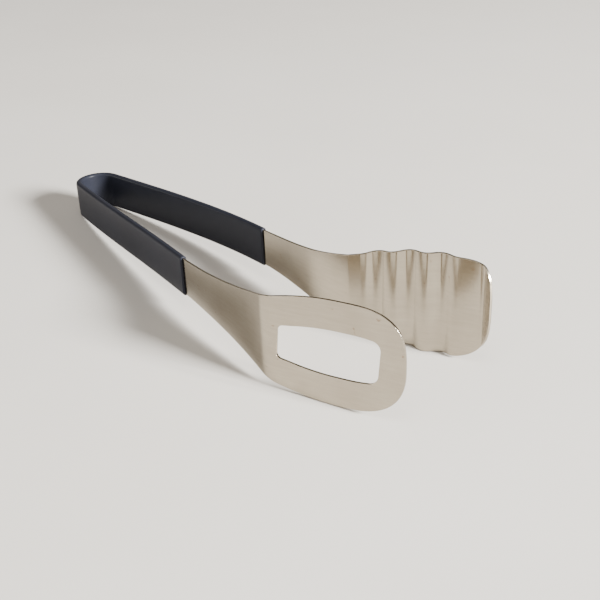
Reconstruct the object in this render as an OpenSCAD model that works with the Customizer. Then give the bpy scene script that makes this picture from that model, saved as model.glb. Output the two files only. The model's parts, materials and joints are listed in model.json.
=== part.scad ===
// Kitchen tongs bent from one strip of stainless sheet, with a vinyl sleeve over the handles.
// The strip is drawn standing on edge: X runs from the bow to the blades, Z is the strip's width.
// lay_down() then tips it so that the bow and both blades rest on Z = 0.

/* [Sheet] */
// Thickness of the stainless sheet
sheet_t = 1; // [0.8:0.1:1.2]
// Width of the strip inside the grip
strip_w = 16.6; // [14:0.2:18]

/* [Grip] */
// Thickness of the vinyl on each face of the strip
coat_t = 1.0; // [0.6:0.1:1.2]
// Thickness of the vinyl over each edge of the strip
edge_coat = 0.7; // [0.5:0.1:1]
// Length of the grip along each arm, from the end of the bow
grip_len = 112.5; // [95:0.5:130]

/* [Bow] */
// Radius of the bow, to the middle of the sheet
bow_r = 9.9; // [8:0.1:12]
// Angle at which the frame arm leaves the bow, away from the middle line
frame_leave = 7.9; // [6:0.1:9]
// Angle at which the ridged arm leaves the bow, away from the middle line
ridged_leave = 9.2; // [8:0.1:11]

/* [Blades] */
// Full width of both blades at their widest
blade_w = 43; // [38:0.5:48]
// Distance from the grip's end to the widest place
blade_swell = 96; // [90:1:100]
// Distance from the grip's end to the tip of the frame blade
frame_reach = 121; // [118:0.2:126]
// Distance from the grip's end to the tip of the ridged blade
ridged_reach = 116.2; // [114:0.2:120]

/* [Window] */
// Width of the rim beside the window
rim_w = 12; // [10:0.5:13]
// Distance from the frame blade's bend to the window
window_start = 0.2; // [0.2:0.2:4]
// Distance from the frame blade's bend to the far end of the window
window_end = 41; // [38:0.5:43]
// Radius of the window's corners at its wide end
window_r = 4; // [2:0.5:5]
// Lean of the window's short sides, towards the tip at the top
window_skew = 5; // [0:0.5:8]

/* [Ridges] */
// Distance from the crease to the first ridge
ridge_start = 4.4; // [3:0.1:5]
// Number of pressed ridges across the ridged blade
ridge_count = 3; // [1:1:3]
// Distance from one ridge to the next
ridge_pitch = 13.2; // [12:0.2:14]
// Height of a ridge
ridge_h = 2.2; // [2:0.1:2.4]
// Angle of the turned lip at the ridged blade's tip
lip_turn = 42; // [10:1:45]
// Length of the turned lip past its bend
lip_len = 4.2; // [2:0.2:5]

/* [Hidden] */

$fn = 96;
steel = [0.74, 0.71, 0.66];
vinyl = [0.10, 0.11, 0.15];

grip_t = sheet_t + 2 * coat_t;
grip_w = strip_w + 2 * edge_coat;
// Each arm ends in a knuckle, a little rounder than the grip is thick, in a seat cut out of the bow.
knuckle_r = grip_t / 2 + 0.05;
seat_r = knuckle_r + 0.05;
// Height of the sheet that the blades are cut from
stock_h = blade_w + 4;
// Longest facet along a bend, and its largest turn
facet_len = 12;
facet_a = 5;

// Each arm is a chain of stretches, [length, turn]: positive turns are to the left.
frame_handle = [
    [grip_len * 0.30, 2.05],
    [grip_len * 0.29, 0.5],
    [grip_len * 0.41, -1.9]
];
frame_neck = [[36, 1.4], [26, -2]];
frame_bend = [[8, 30]];

ridged_handle = [
    [grip_len * 0.30, -0.9],
    [grip_len * 0.29, -2.7],
    [grip_len * 0.21, -3.5],
    [grip_len * 0.20, -4.1]
];
ridged_neck = [[17, -3.4], [16, 0.1], [24.6, 13]];
// Sharp crease where the ridged blade starts
ridged_bend = [[0.8, 18]];

// A ridge is arcs of ridge_r joined by two straight flanks at flank_a.
flank_a = 30;
flank_len = (ridge_h - ridge_pitch / 2 * tan(flank_a / 2))
    / (sin(flank_a) - cos(flank_a) * tan(flank_a / 2));
ridge_r = (ridge_pitch / 2 - flank_len * cos(flank_a)) / (2 * sin(flank_a));
flank_arc = ridge_r * flank_a * PI / 180;
ridge = [
    [flank_arc, flank_a],
    [flank_len, 0],
    [2 * flank_arc, -2 * flank_a],
    [flank_len, 0],
    [flank_arc, flank_a]
];
lip_r = 2.5;
lip_run = lip_r * sin(lip_turn) + lip_len * cos(lip_turn);
frame_start = run(frame_neck) + run(frame_bend);
ridged_start = run(ridged_neck) + run(ridged_bend);
frame_head = [[frame_reach - frame_start + 1, 0]];
ridged_head = [
    [ridge_start, 0],
    for (i = [1:ridge_count]) each ridge,
    [ridged_reach - ridged_start - ridge_start - ridge_count * ridge_pitch - lip_run, 0],
    [lip_r * lip_turn * PI / 180, -lip_turn],
    [lip_len, 0]
];

// Exponents of the rounded tips: 2 is an ellipse, more is squarer.
frame_top_n = 3.1;
frame_bottom_n = 2.5;
ridged_top_n = 4.8;
ridged_bottom_n = 2.5;

// Poses, [x, y, heading], along both arms
frame_root = [-bow_r * sin(frame_leave), -bow_r * cos(frame_leave), -frame_leave];
ridged_root = [-bow_r * sin(ridged_leave), bow_r * cos(ridged_leave), ridged_leave];
frame_bend_at = after(frame_root, concat(frame_handle, frame_neck));
frame_head_at = after(frame_bend_at, frame_bend);
ridged_head_at = after(ridged_root, concat(ridged_handle, ridged_neck, ridged_bend));

// Tilt at which the bow and the blades all touch the table
bow_back = bow_r + grip_t / 2;
tilt = max([for (p = swell(0, blade_swell))
    atan((p[1] - grip_w / 2)
        / (frame_head_at[0] + (p[0] - frame_start) * cos(frame_head_at[2]) + bow_back))]);
lift = bow_back * sin(tilt) + grip_w / 2 * cos(tilt);
tip_x = frame_head_at[0] + (frame_reach - frame_start) * cos(frame_head_at[2]);
far_y = max([for (k = [0:len(ridged_head)]) after(ridged_head_at, ridged_head, k)[1]]);
centre_x = (tip_x - bow_back) / 2 * cos(tilt);
centre_y = (frame_bend_at[1] + far_y) / 2;

// Length of a chain, or of its first n stretches
function run(chain, n = -1) =
    let (k = n < 0 ? len(chain) : n)
        k == 0 ? 0 : run(chain, k - 1) + chain[k - 1][0];

// Pose at the end of one stretch
function step(p, s) =
    s[1] == 0
        ? [p[0] + s[0] * cos(p[2]), p[1] + s[0] * sin(p[2]), p[2]]
        : let (r = s[0] * 180 / PI / s[1], h = p[2] + s[1])
            [p[0] + r * (sin(h) - sin(p[2])), p[1] - r * (cos(h) - cos(p[2])), h];

// Pose after the first n stretches of a chain, or after all of it
function after(p, chain, n = -1) =
    let (k = n < 0 ? len(chain) : n)
        k == 0 ? p : step(after(p, chain, k - 1), chain[k - 1]);

// Points beside a chain's middle line, off to its left
function beside(start, chain, off) = [
    for (i = [0:len(chain) - 1])
        let (
            p = after(start, chain, i),
            s = chain[i],
            n = s[1] == 0 ? 1 : ceil(max(abs(s[1]) / facet_a, s[0] / facet_len))
        )
            for (k = [i == 0 ? 0 : 1:n])
                let (q = step(p, s * k / n))
                    [q[0] - off * sin(q[2]), q[1] + off * cos(q[2])]
];

function turned_round(points) = [for (i = [len(points) - 1:-1:0]) points[i]];

// A blank swells from the strip to the blade along a cubic curve, [distance, half-width].
function cubic(a, b, c, d, t) =
    pow(1 - t, 3) * a + 3 * pow(1 - t, 2) * t * b + 3 * (1 - t) * t * t * c + t * t * t * d;
function swell_at(t) = [
    cubic(0, blade_swell * 0.58, blade_swell * 0.70, blade_swell, t),
    cubic(strip_w / 2, strip_w / 2 + 1.9, blade_w / 2 + 0.4, blade_w / 2, t)
];

// Where along the curve a distance lies, by halving
function find_t(x, lo = 0, hi = 1, n = 24) =
    let (mid = (lo + hi) / 2)
        n == 0 ? mid : swell_at(mid)[0] < x ? find_t(x, mid, hi, n - 1) : find_t(x, lo, mid, n - 1);

// The curve between two distances
function swell(from, to, n = 20) =
    let (t0 = find_t(from), t1 = find_t(to))
        [for (i = [0:n]) swell_at(t0 + (t1 - t0) * i / n)];

// A quarter of a rounded tip, from the widest place to the middle line
function tip(reach, n, steps = 18) = [
    for (i = [1:steps])
        let (a = 90 * (1 - i / steps))
            [
                blade_swell + (reach - blade_swell) * pow(cos(a), 2 / n),
                blade_w / 2 * pow(max(sin(a), 0), 2 / n)
            ]
];

// Points of an arc, from angle a0 to a1
function arc(x, y, r, a0, a1, steps = 8) = [
    for (i = [0:steps])
        let (a = a0 + (a1 - a0) * i / steps)
            [x + r * cos(a), y + r * sin(a)]
];

// A band of sheet, t thick and w wide, bent along a chain
module band(start, chain, t, w) {
    linear_extrude(height = w, center = true)
        polygon(concat(beside(start, chain, -t / 2), turned_round(beside(start, chain, t / 2))));
}

// The same band, drawn back past its start so that a knuckle can be cut there
module tailed_band(start, chain, t, w) {
    tail = 2 * knuckle_r;
    band(step(start, [-tail, 0]), concat([[tail, 0]], chain), t, w);
}

// Moves what lies at the origin, facing +X, to a pose
module at(p) {
    translate([p[0], p[1], 0]) rotate([0, 0, p[2]]) children();
}

// What has to go from behind an arm's knuckle
module behind_knuckle(root) {
    back = 3 * knuckle_r;
    at(root) difference() {
        translate([-back, -back, -stock_h]) cube([back, 2 * back, 2 * stock_h]);
        cylinder(r = knuckle_r, h = 3 * stock_h, center = true);
    }
}

// Cuts straight through the sheet at a pose, with the outline's distance zero moved back by s
module punch(p, s) {
    at(p) translate([-s, 0, 0]) rotate([90, 0, 0])
        linear_extrude(height = stock_h, center = true) children();
}

// Everything above an edge, and as far past its end as given
module above(edge, past) {
    last = edge[len(edge) - 1];
    polygon(concat(edge, [[last[0] + past, last[1]], [last[0] + past, stock_h], [edge[0][0], stock_h]]));
}

// One arm's steel: the strip in the grip, the neck and the blade, whose tip may differ above and below
module arm_steel(root, handle, neck, bend, head, reach, top_n, bottom_n) {
    neck_at = after(root, handle);
    bend_at = after(neck_at, neck);
    // The neck's cut and the blade's cut run over each other by this much.
    lap = 0.4;
    neck_edge = concat([[-2 * grip_len, strip_w / 2]], swell(0, run(neck) + lap));
    blade_edge = swell(run(neck) - lap, blade_swell);
    difference() {
        tailed_band(root, concat(handle, neck, bend, head), sheet_t, stock_h);
        behind_knuckle(root);
        for (below = [0, 1]) mirror([0, 0, below]) {
            punch(neck_at, 0) above(neck_edge, 0);
            punch(after(bend_at, bend), run(neck) + run(bend))
                above(concat(blade_edge, tip(reach, below == 0 ? top_n : bottom_n)), 5);
        }
    }
}

// Sleeve over one handle, with the strip's own space left out of it
module handle_grip(root, handle) {
    difference() {
        tailed_band(root, handle, grip_t, grip_w);
        tailed_band(root, concat(handle, [[1, 0]]), sheet_t, strip_w);
        behind_knuckle(root);
    }
}

// Window whose long sides run parallel to the blade's edge
module window_outline() {
    near_r = 2.5;
    near_x = frame_start + window_start;
    far_x = frame_start + window_end;
    side = [for (p = swell(near_x + 5, far_x - window_r, 10)) [p[0], p[1] - rim_w]];
    edge = concat(
        arc(near_x + near_r, side[0][1] - near_r - 0.4, near_r, 180, 110),
        side,
        arc(far_x - window_r, side[10][1] - window_r, window_r, 90, 0)
    );
    outline = concat(edge, [for (p = turned_round(edge)) [p[0], -p[1]]]);
    polygon([for (p = outline) [p[0] + p[1] * tan(window_skew), p[1]]]);
}

module bow_band(t, w) {
    rotate([0, 0, 90 + ridged_leave])
        rotate_extrude(angle = 180 - ridged_leave - frame_leave)
            translate([bow_r, 0]) square([t, w], center = true);
}

module seats() {
    for (root = [frame_root, ridged_root])
        at(root) cylinder(r = seat_r, h = 2 * grip_w, center = true);
}

module lay_down() {
    translate([-centre_x, -centre_y, lift]) rotate([0, -tilt, 0]) children();
}

module spring_bow() {
    color(steel) lay_down() difference() {
        bow_band(sheet_t, strip_w);
        seats();
    }
}

module bow_grip() {
    color(vinyl) lay_down() difference() {
        bow_band(grip_t, grip_w);
        bow_band(sheet_t, strip_w);
        seats();
    }
}

module frame_blade() {
    color(steel) lay_down() difference() {
        arm_steel(frame_root, frame_handle, frame_neck, frame_bend, frame_head,
            frame_reach, frame_top_n, frame_bottom_n);
        punch(frame_head_at, frame_start) window_outline();
    }
}

module frame_grip() {
    color(vinyl) lay_down() handle_grip(frame_root, frame_handle);
}

module ridged_blade() {
    color(steel) lay_down()
        arm_steel(ridged_root, ridged_handle, ridged_neck, ridged_bend, ridged_head,
            ridged_reach, ridged_top_n, ridged_bottom_n);
}

module ridged_grip() {
    color(vinyl) lay_down() handle_grip(ridged_root, ridged_handle);
}

spring_bow();
bow_grip();
frame_blade();
frame_grip();
ridged_blade();
ridged_grip();
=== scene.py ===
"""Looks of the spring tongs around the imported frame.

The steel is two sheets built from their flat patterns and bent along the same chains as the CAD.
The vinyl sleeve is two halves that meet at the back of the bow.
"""

import json
import math

import bpy
import numpy as np
from mathutils import Matrix, Vector
from mathutils.geometry import delaunay_2d_cdt


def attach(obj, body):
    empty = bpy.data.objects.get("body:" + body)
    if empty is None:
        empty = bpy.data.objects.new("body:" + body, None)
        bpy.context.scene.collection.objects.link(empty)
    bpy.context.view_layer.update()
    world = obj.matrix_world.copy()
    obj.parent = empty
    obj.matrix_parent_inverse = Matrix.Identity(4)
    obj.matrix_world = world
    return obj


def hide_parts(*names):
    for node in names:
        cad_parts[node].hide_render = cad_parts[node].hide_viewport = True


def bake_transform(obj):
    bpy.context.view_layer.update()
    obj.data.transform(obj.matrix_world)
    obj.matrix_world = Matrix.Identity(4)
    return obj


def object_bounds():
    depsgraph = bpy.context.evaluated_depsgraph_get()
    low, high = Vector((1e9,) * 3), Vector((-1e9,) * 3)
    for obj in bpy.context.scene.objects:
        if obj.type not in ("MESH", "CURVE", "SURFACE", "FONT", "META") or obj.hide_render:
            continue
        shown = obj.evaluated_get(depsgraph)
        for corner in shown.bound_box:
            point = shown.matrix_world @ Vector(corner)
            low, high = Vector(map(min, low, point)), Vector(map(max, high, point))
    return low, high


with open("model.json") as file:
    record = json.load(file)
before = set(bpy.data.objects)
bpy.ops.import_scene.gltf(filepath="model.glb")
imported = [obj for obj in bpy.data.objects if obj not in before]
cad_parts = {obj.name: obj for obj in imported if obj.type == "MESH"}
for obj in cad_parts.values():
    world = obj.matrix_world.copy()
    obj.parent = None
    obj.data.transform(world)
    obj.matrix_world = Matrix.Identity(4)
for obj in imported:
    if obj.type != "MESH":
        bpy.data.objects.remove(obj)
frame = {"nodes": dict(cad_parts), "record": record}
cad_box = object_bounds()
MM = 0.001

# ---------------------------------------------------------------- tongs frame
# The tongs are drawn standing on edge: X along them, Y across, Z the strip's width, in millimetres.
hang = next(m for m in frame["record"]["mounts"] if m["name"] == "bow_hang")
z_dir = Vector(hang["axis"]).normalized()
x_dir = Vector((z_dir.z, 0, -z_dir.x))
LAID = Matrix((x_dir, (0, 1, 0), z_dir)).transposed().to_4x4()
LAID.translation = Vector(hang["pos_m"])


def laid(points):
    """Points in millimetres in the tongs frame, as an array of points in metres in the row frame."""
    rot = np.array(LAID.to_3x3())
    return np.asarray(points, float) * MM @ rot.T + np.array(LAID.translation)


def laid_dir(v):
    return LAID.to_3x3() @ Vector(v)


# ---------------------------------------------------------------- camera
CAM_AT = (424.48, -212.93, 173.14)
CAM_AZ, CAM_DOWN, CAM_ROLL = -51.256, 27.114, -2.410
LENS = 57.66


def make_camera():
    az, down, roll = (math.radians(a) for a in (CAM_AZ, CAM_DOWN, CAM_ROLL))
    look = Vector((math.sin(az) * math.cos(down), math.cos(az) * math.cos(down), -math.sin(down)))
    right = look.cross(Vector((0, 0, 1))).normalized()
    up = right.cross(look)
    right_r = right * math.cos(roll) + up * math.sin(roll)
    up_r = up * math.cos(roll) - right * math.sin(roll)
    axes = [laid_dir(v) for v in (right_r, up_r, -look)]
    data = bpy.data.cameras.new("camera")
    data.lens = LENS
    data.sensor_width = 36
    data.clip_start = 0.01
    data.clip_end = 50
    cam = bpy.data.objects.new("camera", data)
    cam.matrix_world = Matrix.Translation(laid([CAM_AT])[0]) @ Matrix(axes).transposed().to_4x4()
    bpy.context.scene.collection.objects.link(cam)
    bpy.context.scene.camera = cam


make_camera()

# ---------------------------------------------------------------- the design, as in the CAD
SHEET_T, STRIP_W, COAT_T, EDGE_COAT = 1.0, 16.6, 1.0, 0.7
GRIP_LEN, BOW_R = 112.5, 9.9
FRAME_LEAVE, RIDGED_LEAVE = 7.9, 9.2
BLADE_W, SWELL = 43.0, 96.0
FRAME_REACH, RIDGED_REACH = 121.0, 116.2
RIM_W, WINDOW_START, WINDOW_END, WINDOW_R, WINDOW_SKEW = 12.0, 0.2, 41.0, 4.0, 5.0
RIDGE_START, RIDGE_COUNT, RIDGE_PITCH, RIDGE_H = 4.4, 3, 13.2, 2.2
LIP_TURN, LIP_R, LIP_LEN, FLANK_A = 42.0, 2.5, 4.2, 30.0
FRAME_TIP, RIDGED_TIP = (3.1, 2.5), (4.8, 2.5)

GRIP_T = SHEET_T + 2 * COAT_T
GRIP_W = STRIP_W + 2 * EDGE_COAT

frame_handle = [(GRIP_LEN * 0.30, 2.05), (GRIP_LEN * 0.29, 0.5), (GRIP_LEN * 0.41, -1.9)]
frame_neck = [(36, 1.4), (26, -2)]
frame_bend = [(8, 30)]
ridged_handle = [
    (GRIP_LEN * 0.30, -0.9), (GRIP_LEN * 0.29, -2.7), (GRIP_LEN * 0.21, -3.5), (GRIP_LEN * 0.20, -4.1)
]
ridged_neck = [(17, -3.4), (16, 0.1), (24.6, 13)]
ridged_bend = [(0.8, 18)]


def run(chain):
    return sum(length for length, _ in chain)


def ridge():
    a = math.radians(FLANK_A)
    half_tan = math.tan(a / 2)
    flank = (RIDGE_H - RIDGE_PITCH / 2 * half_tan) / (math.sin(a) - math.cos(a) * half_tan)
    arc = (RIDGE_PITCH / 2 - flank * math.cos(a)) / (2 * math.sin(a)) * a
    return [(arc, FLANK_A), (flank, 0), (2 * arc, -2 * FLANK_A), (flank, 0), (arc, FLANK_A)]


FRAME_START = run(frame_neck) + run(frame_bend)
RIDGED_START = run(ridged_neck) + run(ridged_bend)
frame_head = [(FRAME_REACH - FRAME_START + 1, 0)]
lip_run = LIP_R * math.sin(math.radians(LIP_TURN)) + LIP_LEN * math.cos(math.radians(LIP_TURN))
flat_run = RIDGED_REACH - RIDGED_START - RIDGE_START - RIDGE_COUNT * RIDGE_PITCH - lip_run
ridged_head = (
    [(RIDGE_START, 0)]
    + ridge() * RIDGE_COUNT
    + [(flat_run, 0), (LIP_R * math.radians(LIP_TURN), -LIP_TURN), (LIP_LEN, 0)]
)
FRAME_ROOT = (
    -BOW_R * math.sin(math.radians(FRAME_LEAVE)), -BOW_R * math.cos(math.radians(FRAME_LEAVE)), -FRAME_LEAVE
)
RIDGED_ROOT = (
    -BOW_R * math.sin(math.radians(RIDGED_LEAVE)), BOW_R * math.cos(math.radians(RIDGED_LEAVE)), RIDGED_LEAVE
)


def step(pose, stretch):
    x, y, h = pose
    length, turn = stretch
    if abs(turn) < 1e-9:
        a = math.radians(h)
        return (x + length * math.cos(a), y + length * math.sin(a), h)
    r = length / math.radians(turn)
    a, b = math.radians(h), math.radians(h + turn)
    return (x + r * (math.sin(b) - math.sin(a)), y - r * (math.cos(b) - math.cos(a)), h + turn)


def after(pose, chain):
    for stretch in chain:
        pose = step(pose, stretch)
    return pose


def smoothed(heading, width, **padding):
    """The heading averaged over so many steps of the path, weighted towards the middle."""
    kernel = np.hanning(width + 2)[1:-1]
    padded = np.pad(heading, width // 2, **padding)
    return np.convolve(padded, kernel / kernel.sum(), mode="valid")


class Path:
    """A finely walked middle line: distance along it to place and heading."""

    def __init__(self, start, chain, before=0.0, spacing=0.05, ease=0.6):
        pose = step(start, (-before, 0))
        rows = [(-before, *pose)]
        at = -before
        for length, turn in [(before, 0)] + list(chain) if before else chain:
            n = max(1, math.ceil(length / spacing))
            for k in range(1, n + 1):
                rows.append((at + length * k / n, *step(pose, (length * k / n, turn * k / n))))
            at += length
            pose = step(pose, (length, turn))
        self.u, self.x, self.y, self.h = np.array(rows).T
        # Pressed steel has no sudden change of curvature: the heading is smoothed over a short stretch.
        if ease:
            self.h = smoothed(self.h, max(3, int(ease / spacing) | 1), mode="edge")

    def at(self, u):
        x, y, h = (np.interp(u, self.u, a) for a in (self.x, self.y, self.h))
        return x, y, np.radians(h)


# ---------------------------------------------------------------- flat patterns
def cubic(a, b, c, d, t):
    return (1 - t) ** 3 * a + 3 * (1 - t) ** 2 * t * b + 3 * (1 - t) * t * t * c + t**3 * d


T = np.linspace(0, 1, 600)
SWELL_X = cubic(0, SWELL * 0.58, SWELL * 0.70, SWELL, T)
SWELL_Y = cubic(STRIP_W / 2, STRIP_W / 2 + 1.9, BLADE_W / 2 + 0.4, BLADE_W / 2, T)


def half_width(s, reach, n):
    """Half-width of the blank at distance s from the grip's end."""
    side = np.interp(s, SWELL_X, SWELL_Y)
    part = np.clip((s - SWELL) / (reach - SWELL), 0, 1)
    return np.minimum(side, BLADE_W / 2 * (1 - part**n) ** (1 / n))


def tip_stations(reach, steps=34):
    """Distances that crowd together towards the tip, just short of the very end."""
    part = np.sin(np.linspace(0, math.pi / 2, steps)) ** 0.9
    return SWELL + (reach - SWELL - 0.01) * part


def pattern_distance(path, neck_at, neck_run, head_at, head_start):
    """Table from distance along the sheet to distance in the flat outline, as the CAD cuts it."""
    def along(pose, offset):
        a = math.radians(pose[2])
        return (path.x - pose[0]) * math.cos(a) + (path.y - pose[1]) * math.sin(a) + offset

    neck, head = along(neck_at, 0), along(head_at, head_start)
    w = np.clip((path.u - neck_run) / (head_start - neck_run), 0, 1)
    return neck * (1 - w) + head * w


def new_object(name, mesh, material):
    obj = bpy.data.objects.new(name, mesh)
    bpy.context.scene.collection.objects.link(obj)
    mesh.materials.append(material)
    return obj


def make_mesh(name, verts, normals, faces, pattern=None):
    """Mesh in the row frame with its normals given, and the flat pattern kept as an attribute."""
    mesh = bpy.data.meshes.new(name)
    mesh.from_pydata(laid(verts).tolist(), [], faces)
    mesh.validate(verbose=False)
    mesh.polygons.foreach_set("use_smooth", [True] * len(mesh.polygons))
    if pattern is not None:
        attribute = mesh.attributes.new("pattern", "FLOAT_VECTOR", "POINT")
        attribute.data.foreach_set("vector", np.asarray(pattern, np.float32).ravel())
    rot = np.array(LAID.to_3x3())
    turned = np.asarray(normals, float) @ rot.T
    turned /= np.linalg.norm(turned, axis=1, keepdims=True)
    mesh.normals_split_custom_set_from_vertices(turned.tolist())
    mesh.update()
    return mesh


EDGE_R = 0.2
EDGE_STEPS = 4


def sheet_mesh(name, path, uv, faces, loops, thick=SHEET_T, edge=EDGE_R):
    """Closed sheet over the flat points uv, whose faces run anticlockwise.

    The rims along the loops are rounded, with the metal on each loop's left.
    """
    uv = np.array(uv, float)
    inset = uv.copy()
    rims = []
    for loop in loops:
        p = uv[loop]
        d = np.roll(p, -1, 0) - np.roll(p, 1, 0)
        m = np.stack([d[:, 1], -d[:, 0]], 1)
        m /= np.linalg.norm(m, axis=1, keepdims=True)
        inset[loop] = p - edge * m
        rims.append((loop, p, m))

    def place(q, off):
        x, y, h = path.at(q[:, 0])
        return np.stack([x - off * np.sin(h), y + off * np.cos(h), q[:, 1]], 1), h

    n = len(uv)
    verts, normals, pattern = [], [], []
    for side in (1, -1):
        v, h = place(inset, side * thick / 2)
        verts.append(v)
        normals.append(side * np.stack([-np.sin(h), np.cos(h), 0 * h], 1))
        pattern.append(np.column_stack([inset, np.full(n, side)]))
    polys = [tuple(reversed(f)) for f in faces] + [tuple(i + n for i in f) for f in faces]
    base = 2 * n
    for loop, p, m in rims:
        rings = [np.array(loop) + n]
        for side in (-1, 1):
            angles = np.linspace(0, math.pi / 2, EDGE_STEPS + 1)[1:]
            for a in angles if side < 0 else angles[::-1]:
                q = p - edge * (1 - math.sin(a)) * m
                v, h = place(q, side * (thick / 2 - edge + edge * math.cos(a)))
                along = np.stack([np.cos(h), np.sin(h), 0 * h], 1)
                face_n = np.stack([-np.sin(h), np.cos(h), 0 * h], 1)
                out = m[:, :1] * along + m[:, 1:] * np.array([[0, 0, 1.0]])
                verts.append(v)
                normals.append(math.sin(a) * out + side * math.cos(a) * face_n)
                pattern.append(np.column_stack([q, np.full(len(q), side * math.cos(a))]))
                rings.append(np.arange(base, base + len(loop)))
                base += len(loop)
        rings.append(np.array(loop))
        for low, high in zip(rings, rings[1:]):
            for i in range(len(loop)):
                j = (i + 1) % len(loop)
                polys.append((int(low[i]), int(high[i]), int(high[j]), int(low[j])))
    return make_mesh(name, np.vstack(verts), np.vstack(normals), polys, np.vstack(pattern))


def grid_points(us, tops, bottoms, rows):
    """Rows of flat points across the sheet, and its quads, anticlockwise."""
    r = np.linspace(0, 1, rows + 1)
    z = tops[:, None] * (1 - r) + bottoms[:, None] * r
    uv = np.stack([np.repeat(us[:, None], rows + 1, 1), z], 2).reshape(-1, 2)
    faces = []
    for k in range(len(us) - 1):
        for i in range(rows):
            a = k * (rows + 1) + i
            faces.append((a + 1, a + rows + 2, a + rows + 1, a))
    return uv, faces


ROWS = 12
INSIDE = 8.0
NECK_STEP, BEND_STEP, JUNCTION_STEP, LATTICE_STEP = 1.0, 0.3, 0.25, 2.2
LATTICE_CLEAR = 0.5


def stations(path, table, fine, to_s, step_mm=NECK_STEP):
    """Distances along the sheet: even ones, finer between the given limits, then the tip's."""
    us = [-INSIDE, -INSIDE + 0.6]
    u_swell = np.interp(SWELL, table, path.u)
    u = us[-1]
    while u < u_swell - 0.3:
        u += next((d for lo, hi, d in fine if lo <= u < hi), step_mm)
        us.append(min(u, u_swell - 0.2))
    return np.array(us + [float(np.interp(s, table, path.u)) for s in to_s])


def ridged_steel():
    path = Path(RIDGED_NECK_AT, ridged_neck + ridged_bend + ridged_head, before=INSIDE)
    table = pattern_distance(path, RIDGED_NECK_AT, run(ridged_neck), RIDGED_HEAD_AT, RIDGED_START)
    fine = [(RIDGED_START - 2, RIDGED_START + 1.5, 0.12), (RIDGED_START + 1.5, 200, BEND_STEP)]
    us = stations(path, table, fine, tip_stations(RIDGED_REACH))
    s = np.interp(us, path.u, table)
    tops = half_width(s, RIDGED_REACH, RIDGED_TIP[0])
    bottoms = -half_width(s, RIDGED_REACH, RIDGED_TIP[1])
    uv, faces = grid_points(us, tops, bottoms, ROWS)
    cols, w = len(us), ROWS + 1
    loop = (
        [k * w + ROWS for k in range(cols)]
        + [(cols - 1) * w + i for i in range(ROWS - 1, -1, -1)]
        + [k * w for k in range(cols - 2, -1, -1)]
        + list(range(1, ROWS))
    )
    return sheet_mesh("ridged_steel", path, uv, faces, [loop])


def arc(x, y, r, a0, a1, steps=10):
    a = np.radians(np.linspace(a0, a1, steps + 1))
    return np.stack([x + r * np.cos(a), y + r * np.sin(a)], 1)


WINDOW_NEAR_R = 2.5


def window_loop():
    """The window's outline in the flat pattern, clockwise."""
    near, far = FRAME_START + WINDOW_START, FRAME_START + WINDOW_END
    xs = np.linspace(near + 5, far - WINDOW_R, 24)
    side = np.stack([xs, half_width(xs, FRAME_REACH, FRAME_TIP[0]) - RIM_W], 1)
    upper = np.vstack([
        arc(near + WINDOW_NEAR_R, side[0, 1] - WINDOW_NEAR_R - 0.4, WINDOW_NEAR_R, 180, 105),
        side,
        arc(far - WINDOW_R, side[-1, 1] - WINDOW_R, WINDOW_R, 90, 0),
    ])
    lower = upper[::-1] * [1, -1]
    middle = np.linspace(1, 0, 8)[1:-1, None]
    right = upper[-1] * middle + lower[0] * (1 - middle)
    left = lower[-1] * middle + upper[0] * (1 - middle)
    loop = np.vstack([upper, right, lower, left])
    loop[:, 0] += loop[:, 1] * math.tan(math.radians(WINDOW_SKEW))
    return loop


def away_from(points, loop):
    """Distance of each point from a closed outline."""
    a, b = loop, np.roll(loop, -1, 0)
    ab = b - a
    t = np.einsum("pki,ki->pk", points[:, None] - a, ab) / np.einsum("ki,ki->k", ab, ab)
    foot = a + np.clip(t, 0, 1)[..., None] * ab
    return np.linalg.norm(points[:, None] - foot, axis=2).min(1)


def inside(points, loop):
    """Whether each point lies inside a closed outline."""
    a, b = loop, np.roll(loop, -1, 0)
    x, y = points[:, :1], points[:, 1:]
    spans = (a[:, 1] > y) != (b[:, 1] > y)
    rise = np.where(b[:, 1] == a[:, 1], 1, b[:, 1] - a[:, 1])
    cross = a[:, 0] + (y - a[:, 1]) / rise * (b[:, 0] - a[:, 0])
    return (spans & (cross > x)).sum(1) % 2 == 1


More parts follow.
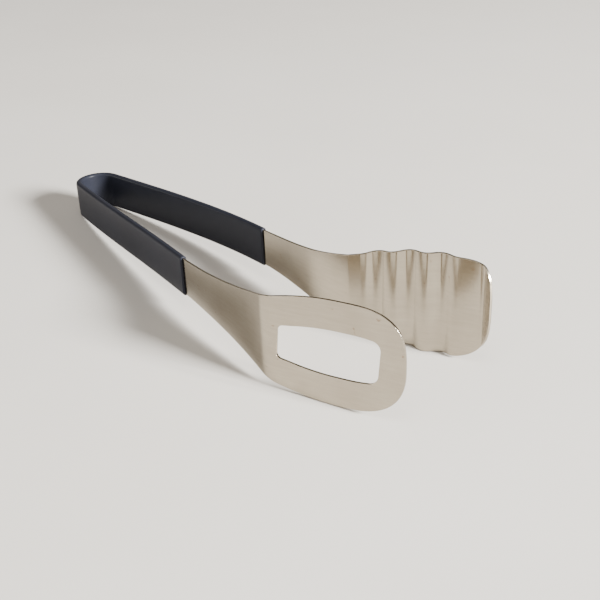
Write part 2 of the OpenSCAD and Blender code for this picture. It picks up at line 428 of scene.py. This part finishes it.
def frame_steel():
    path = Path(FRAME_NECK_AT, frame_neck + frame_bend + frame_head, before=INSIDE)
    table = pattern_distance(path, FRAME_NECK_AT, run(frame_neck), FRAME_HEAD_AT, FRAME_START)
    flat_from = FRAME_START - 1.0
    fine_from = run(frame_neck) - 1
    us = np.concatenate([
        [-INSIDE, -INSIDE + 0.6],
        np.arange(1 - INSIDE, fine_from, NECK_STEP),
        np.arange(fine_from, flat_from, BEND_STEP),
        [flat_from],
    ])
    s = np.interp(us, path.u, table)
    uv, faces = grid_points(
        us, half_width(s, FRAME_REACH, FRAME_TIP[0]), -half_width(s, FRAME_REACH, FRAME_TIP[1]), ROWS
    )
    w, cols = ROWS + 1, len(us)
    # The flat head: outline from the junction's top round the tip to its bottom
    xs = np.concatenate([
        np.arange(flat_from + JUNCTION_STEP, FRAME_START + 0.6, JUNCTION_STEP),
        np.linspace(FRAME_START + 1, SWELL, 36)[:-1],
        tip_stations(FRAME_REACH),
    ])
    top = np.stack([xs, half_width(xs, FRAME_REACH, FRAME_TIP[0])], 1)
    bottom = np.stack([xs, -half_width(xs, FRAME_REACH, FRAME_TIP[1])], 1)
    k = np.linspace(0, 1, 10)[1:-1, None]
    end = bottom[-1] * (1 - k) + top[-1] * k
    outline = np.vstack([bottom, end, top[::-1]])
    hole = window_loop()
    columns = np.concatenate([
        np.arange(flat_from + JUNCTION_STEP, FRAME_START + 0.6, JUNCTION_STEP),
        np.arange(FRAME_START + 1.5, FRAME_REACH, LATTICE_STEP),
    ])
    lattice = np.stack(np.meshgrid(columns, uv[-(ROWS + 1):, 1]), 2).reshape(-1, 2)
    rim = np.vstack([uv[-(ROWS + 1):], outline])
    keep = inside(lattice, rim) & (away_from(lattice, rim) > LATTICE_CLEAR)
    keep &= ~inside(lattice, hole) & (away_from(lattice, hole) > LATTICE_CLEAR)
    base = len(uv)
    uv = np.vstack([uv, outline, hole, lattice[keep]])
    outline_ids = list(range(base, base + len(outline)))
    hole_ids = list(range(base + len(outline), base + len(outline) + len(hole)))
    junction = [(cols - 1) * w + i for i in range(w)]
    ring = junction + outline_ids
    flat = ring + hole_ids + list(range(base + len(outline) + len(hole), len(uv)))
    edges = [(i, (i + 1) % len(ring)) for i in range(len(ring))]
    edges += [(len(ring) + i, len(ring) + (i + 1) % len(hole)) for i in range(len(hole))]
    points = [Vector(uv[i]) for i in flat]
    _, _, triangles, origins, _, _ = delaunay_2d_cdt(points, edges, [], 1, 1e-6)
    for tri in triangles:
        a, b, c = (flat[origins[i][0]] for i in tri)
        if inside(uv[[a, b, c]].mean(0)[None], hole)[0]:
            continue
        ab, ac = uv[b] - uv[a], uv[c] - uv[a]
        faces.append((a, b, c) if ab[0] * ac[1] - ab[1] * ac[0] > 0 else (a, c, b))
    loop = (
        [k * w + ROWS for k in range(cols)]
        + outline_ids
        + [k * w for k in range(cols - 1, -1, -1)]
        + list(range(1, ROWS))
    )
    return sheet_mesh("frame_steel", path, uv, faces, [loop, hole_ids])


# ---------------------------------------------------------------- vinyl sleeve
CORNER_R = 1.3
END_R = 0.8
END_R_EDGES = 0.45
SLOT_CLEAR = 0.07
SLOT_DEPTH = 1.2


def rounded_section(half_t, half_w, r, flats=10):
    """Points and outward directions round a rounded rectangle, as (across the sheet, along its width)."""
    pts, dirs = [], []
    for cx, cy, a0 in ((1, 1, 0), (-1, 1, 90), (-1, -1, 180), (1, -1, 270)):
        a = np.radians(np.linspace(a0, a0 + 90, 7))
        d = np.stack([np.cos(a), np.sin(a)], 1)
        pts.append(np.array([cx * (half_t - r), cy * (half_w - r)]) + r * d)
        dirs.append(d)
    out_p, out_d = [], []
    for k in range(4):
        out_p.append(pts[k])
        out_d.append(dirs[k])
        a, b = pts[k][-1], pts[(k + 1) % 4][0]
        inner = np.linspace(0, 1, (flats if k % 2 else 2) + 1)[1:-1, None]
        out_p.append(a * (1 - inner) + b * inner)
        out_d.append(np.repeat(dirs[k][-1:], len(inner), 0))
    return np.vstack(out_p), np.vstack(out_d)


def grip_mesh(name, path, start, end):
    """Sleeve from the back of the bow to its square end, where the steel comes out of a slot."""
    us = np.concatenate([
        np.linspace(start, 0, 26)[:-1], np.linspace(0, end - END_R, int((end - END_R) / 1.5))
    ])
    rings = [(u, 0.0, 0.0) for u in us]
    for a in np.radians(np.linspace(0, 90, 6))[1:]:
        rings.append((end - END_R + END_R * math.sin(a), 1 - math.cos(a), a))
    verts, normals, pattern, polys = [], [], [], []

    def add_ring(u, half_t, half_w, r, tilt, outward=1.0):
        p, d = rounded_section(half_t, half_w, r)
        x, y, h = path.at(u)
        side = np.array([-math.sin(h), math.cos(h), 0.0])
        along = np.array([math.cos(h), math.sin(h), 0.0])
        up = np.array([0, 0, 1.0])
        verts.append(np.array([x, y, 0.0]) + p[:, :1] * side + p[:, 1:] * up)
        flat = d[:, :1] * side + d[:, 1:] * up
        normals.append(outward * math.cos(tilt) * flat + math.sin(tilt) * along)
        pattern.append(np.column_stack([np.full(len(p), u), p[:, 1], p[:, 0]]))
        return len(p)

    for u, part, tilt in rings:
        count = add_ring(
            u, GRIP_T / 2 - END_R * part, GRIP_W / 2 - END_R_EDGES * part, CORNER_R - END_R * part, tilt
        )
    slot_t, slot_w = SHEET_T / 2 + SLOT_CLEAR, STRIP_W / 2 + SLOT_CLEAR
    add_ring(end, slot_t + 0.08, slot_w + 0.08, 0.2, math.pi / 2)
    add_ring(end - 0.06, slot_t, slot_w, 0.15, math.pi / 4, -1.0)
    add_ring(end - SLOT_DEPTH, slot_t, slot_w, 0.15, 0, -1.0)
    total = len(verts)
    for k in range(total - 1):
        for i in range(count):
            j = (i + 1) % count
            a, b = k * count, (k + 1) * count
            polys.append((a + i, a + j, b + j, b + i))
    # The section runs clockwise seen from the end for one hand, so the caps follow it.
    polys.append(tuple(range(count - 1, -1, -1)))
    polys.append(tuple((total - 1) * count + i for i in range(count)))
    flip = np.cross(
        verts[1][0] - verts[0][0], verts[0][1] - verts[0][0]
    ) @ normals[0][0] > 0
    if flip:
        polys = [tuple(reversed(f)) for f in polys]
    return make_mesh(name, np.vstack(verts), np.vstack(normals), polys, np.vstack(pattern))


FRAME_NECK_AT = after(FRAME_ROOT, frame_handle)
FRAME_HEAD_AT = after(FRAME_NECK_AT, frame_neck + frame_bend)
RIDGED_NECK_AT = after(RIDGED_ROOT, ridged_handle)
RIDGED_HEAD_AT = after(RIDGED_NECK_AT, ridged_neck + ridged_bend)
BOW_APEX = (-BOW_R, 0.0)
BOW_EASE_STEPS = 61


def bow_path(handle, leave, hand):
    """Middle line from the back of the bow into one handle: hand is -1 for the frame arm, else 1."""
    turn = hand * -(90 - leave)
    length = BOW_R * math.radians(90 - leave)
    path = Path((*BOW_APEX, hand * 90.0), [(length, turn)] + list(handle), spacing=0.1, ease=0)
    path.u = path.u - length
    # The bow runs into the handle with no sudden change of curvature.
    path.h = smoothed(path.h, BOW_EASE_STEPS, mode="reflect", reflect_type="odd")
    return path, -length


# ---------------------------------------------------------------- materials
STEEL_DIM, STEEL_BRIGHT = (0.414, 0.366, 0.293, 1), (0.468, 0.417, 0.337, 1)
STEEL_GRAIN = (0.36, 0.31, 0.24, 1)
STEEL_STREAK = (0.30, 0.262, 0.205, 1)
STEEL_STAIN = (0.24, 0.15, 0.09, 1)
VINYL_DIM, VINYL_BRIGHT = (0.0166, 0.0182, 0.0262, 1), (0.0208, 0.0227, 0.0322, 1)
FLOOR_DIM, FLOOR_BRIGHT = (0.700, 0.674, 0.630, 1), (0.728, 0.704, 0.660, 1)


def nodes_of(name):
    mat = bpy.data.materials.new(name)
    mat.use_nodes = True
    tree = mat.node_tree
    return mat, tree.nodes, tree.links, tree.nodes["Principled BSDF"]


def steel_material():
    mat, nodes, links, bsdf = nodes_of("satin_steel")
    bsdf.inputs["Metallic"].default_value = 1.0

    def pattern(scale):
        at = nodes.new("ShaderNodeAttribute")
        at.attribute_name = "pattern"
        mapping = nodes.new("ShaderNodeMapping")
        mapping.inputs["Scale"].default_value = scale
        links.new(at.outputs["Vector"], mapping.inputs["Vector"])
        return mapping.outputs["Vector"]

    def noise(vector, scale, detail=3.0, rough=0.5):
        n = nodes.new("ShaderNodeTexNoise")
        n.inputs["Scale"].default_value = scale
        n.inputs["Detail"].default_value = detail
        n.inputs["Roughness"].default_value = rough
        links.new(vector, n.inputs["Vector"])
        return n.outputs["Fac"]

    def ramp(value, low, high, a, b):
        m = nodes.new("ShaderNodeMapRange")
        m.inputs["From Min"].default_value = low
        m.inputs["From Max"].default_value = high
        m.inputs["To Min"].default_value = a
        m.inputs["To Max"].default_value = b
        links.new(value, m.inputs["Value"])
        return m.outputs["Result"]

    def mix(kind, fac, a, b):
        m = nodes.new("ShaderNodeMix")
        m.data_type = kind
        index = {"FLOAT": (2, 3), "RGBA": (6, 7)}[kind]
        for i, value in zip(index, (a, b)):
            if isinstance(value, bpy.types.NodeSocket):
                links.new(value, m.inputs[i])
            else:
                m.inputs[i].default_value = value
        links.new(fac, m.inputs[0])
        return m.outputs[0 if kind == "FLOAT" else 2]

    # Long fine grain left by rolling, wider brushed streaks, cloudy handling marks, and sparse small stains
    grain = noise(pattern((0.35, 9.0, 1.0)), 1.0, 4.0, 0.6)
    brush = noise(pattern((0.07, 0.9, 1.0)), 1.0, 4.0, 0.65)
    cloud = noise(pattern((1.0, 1.0, 1.0)), 0.075, 4.0, 0.55)
    mottle = noise(pattern((1.0, 1.3, 1.0)), 0.6, 3.0, 0.5)
    spots = noise(pattern((1.0, 1.0, 1.0)), 0.42, 1.0, 0.4)
    spot = ramp(spots, 0.765, 0.80, 0.0, 0.55)
    tone = mix("RGBA", ramp(cloud, 0.35, 0.65, 0.0, 1.0), STEEL_DIM, STEEL_BRIGHT)
    tone = mix("RGBA", ramp(grain, 0.3, 0.7, 0.0, 0.35), tone, STEEL_GRAIN)
    tone = mix("RGBA", ramp(brush, 0.38, 0.62, 0.0, 0.26), tone, STEEL_STREAK)
    tone = mix("RGBA", spot, tone, STEEL_STAIN)
    links.new(tone, bsdf.inputs["Base Color"])
    rough = mix("FLOAT", ramp(cloud, 0.3, 0.7, 0.0, 1.0), 0.15, 0.17)
    rough = mix("FLOAT", ramp(mottle, 0.45, 0.75, 0.0, 0.3), rough, 0.21)
    links.new(rough, bsdf.inputs["Roughness"])
    # The grain runs along the strip, so reflections spread across its width.
    across = nodes.new("ShaderNodeCombineXYZ")
    for socket, value in zip(across.inputs, z_dir):
        socket.default_value = value
    links.new(across.outputs["Vector"], bsdf.inputs["Tangent"])
    bsdf.inputs["Anisotropic"].default_value = 0.8
    bump = nodes.new("ShaderNodeBump")
    bump.inputs["Strength"].default_value = 0.04
    bump.inputs["Distance"].default_value = 0.00006
    links.new(grain, bump.inputs["Height"])
    wave = nodes.new("ShaderNodeBump")
    wave.inputs["Strength"].default_value = 0.10
    wave.inputs["Distance"].default_value = 0.00025
    links.new(noise(pattern((1.0, 1.0, 1.0)), 0.07, 1.0, 0.4), wave.inputs["Height"])
    links.new(bump.outputs["Normal"], wave.inputs["Normal"])
    links.new(wave.outputs["Normal"], bsdf.inputs["Normal"])
    return mat


def vinyl_material():
    mat, nodes, links, bsdf = nodes_of("navy_vinyl")
    bsdf.inputs["Specular IOR Level"].default_value = 0.11
    co = nodes.new("ShaderNodeTexCoord").outputs["Object"]

    def noise(scale, detail, rough=0.5):
        n = nodes.new("ShaderNodeTexNoise")
        n.inputs["Scale"].default_value = scale
        n.inputs["Detail"].default_value = detail
        n.inputs["Roughness"].default_value = rough
        links.new(co, n.inputs["Vector"])
        return n.outputs["Fac"]

    cloud = noise(60.0, 3.0)
    fine = noise(2400.0, 2.0)
    ramp = nodes.new("ShaderNodeValToRGB")
    ramp.color_ramp.elements[0].position = 0.3
    ramp.color_ramp.elements[0].color = VINYL_DIM
    ramp.color_ramp.elements[1].position = 0.7
    ramp.color_ramp.elements[1].color = VINYL_BRIGHT
    links.new(cloud, ramp.inputs["Fac"])
    links.new(ramp.outputs["Color"], bsdf.inputs["Base Color"])
    rough = nodes.new("ShaderNodeMapRange")
    rough.inputs["From Min"].default_value = 0.3
    rough.inputs["From Max"].default_value = 0.7
    rough.inputs["To Min"].default_value = 0.33
    rough.inputs["To Max"].default_value = 0.37
    links.new(cloud, rough.inputs["Value"])
    links.new(rough.outputs["Result"], bsdf.inputs["Roughness"])
    bump = nodes.new("ShaderNodeBump")
    bump.inputs["Strength"].default_value = 0.02
    bump.inputs["Distance"].default_value = 0.00005
    links.new(fine, bump.inputs["Height"])
    links.new(bump.outputs["Normal"], bsdf.inputs["Normal"])
    return mat


STEEL, VINYL = steel_material(), vinyl_material()

# ---------------------------------------------------------------- pieces
frame_piece = new_object("frame_steel", frame_steel(), STEEL)
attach(frame_piece, "frame_arm")
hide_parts("frame_blade")

ridged_piece = new_object("ridged_steel", ridged_steel(), STEEL)
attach(ridged_piece, "ridged_arm")
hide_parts("ridged_blade")

for piece_name, body, node, handle, leave, hand in (
    ("frame_sleeve", "frame_arm", "frame_grip", frame_handle, FRAME_LEAVE, -1),
    ("ridged_sleeve", "ridged_arm", "ridged_grip", ridged_handle, RIDGED_LEAVE, 1),
):
    middle, back = bow_path(handle, leave, hand)
    sleeve = new_object(piece_name, grip_mesh(piece_name, middle, back, GRIP_LEN), VINYL)
    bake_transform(sleeve)
    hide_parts(node, "bow_grip")

spring = frame["nodes"]["spring_bow"]
spring.data.materials.clear()
spring.data.materials.append(STEEL)

# ---------------------------------------------------------------- floor and light
def floor_material():
    mat, nodes, links, bsdf = nodes_of("paper_floor")
    bsdf.inputs["Specular IOR Level"].default_value = 0.25
    co = nodes.new("ShaderNodeTexCoord").outputs["Object"]
    n = nodes.new("ShaderNodeTexNoise")
    n.inputs["Scale"].default_value = 9.0
    n.inputs["Detail"].default_value = 5.0
    links.new(co, n.inputs["Vector"])
    ramp = nodes.new("ShaderNodeValToRGB")
    ramp.color_ramp.elements[0].position = 0.3
    ramp.color_ramp.elements[0].color = FLOOR_DIM
    ramp.color_ramp.elements[1].position = 0.7
    ramp.color_ramp.elements[1].color = FLOOR_BRIGHT
    links.new(n.outputs["Fac"], ramp.inputs["Fac"])
    links.new(ramp.outputs["Color"], bsdf.inputs["Base Color"])
    bsdf.inputs["Roughness"].default_value = 0.6
    fine = nodes.new("ShaderNodeTexNoise")
    fine.inputs["Scale"].default_value = 900.0
    links.new(co, fine.inputs["Vector"])
    bump = nodes.new("ShaderNodeBump")
    bump.inputs["Strength"].default_value = 0.12
    bump.inputs["Distance"].default_value = 0.0001
    links.new(fine.outputs["Fac"], bump.inputs["Height"])
    links.new(bump.outputs["Normal"], bsdf.inputs["Normal"])
    return mat


def make_floor():
    mesh = bpy.data.meshes.new("floor")
    r = 3.0
    mesh.from_pydata([(-r, -r, 0), (r, -r, 0), (r, r, 0), (-r, r, 0)], [], [(0, 1, 2, 3)])
    mesh.materials.append(floor_material())
    floor = bpy.data.objects.new("floor", mesh)
    floor.location.z = cad_box[0][2] - 0.0002
    bpy.context.scene.collection.objects.link(floor)


def area_light(name, at, aim, size, power, color):
    data = bpy.data.lights.new(name, "AREA")
    data.shape = "RECTANGLE"
    data.size, data.size_y = size
    data.energy = power
    data.color = color
    light = bpy.data.objects.new(name, data)
    light.location = at
    light.rotation_euler = (Vector(aim) - Vector(at)).to_track_quat("-Z", "Y").to_euler()
    bpy.context.scene.collection.objects.link(light)


def sky_point(azimuth, elevation, distance):
    """A point at so many metres from the tongs, by compass and height in degrees."""
    a, e = math.radians(azimuth), math.radians(elevation)
    level = distance * math.cos(e)
    return (level * math.cos(a), level * math.sin(a), distance * math.sin(e))


WARM_WHITE = (1.0, 0.97, 0.93)

make_floor()
area_light("key", sky_point(20.0, 25.0, 2.6), (0, 0, 0), (0.6, 0.6), 338, (1.0, 0.985, 0.96))
area_light("wall", sky_point(-114.0, 11.0, 1.6), (0, 0, 0), (2.1, 0.6), 17, WARM_WHITE)
area_light("top", sky_point(-60.0, 72.0, 1.6), (0, 0, 0), (0.8, 0.8), 8, WARM_WHITE)

world = bpy.data.worlds.new("world")
bpy.context.scene.world = world
world.use_nodes = True
sky = world.node_tree.nodes["Background"]
sky.inputs["Color"].default_value = (0.97, 0.87, 0.76, 1)
sky.inputs["Strength"].default_value = 0.23
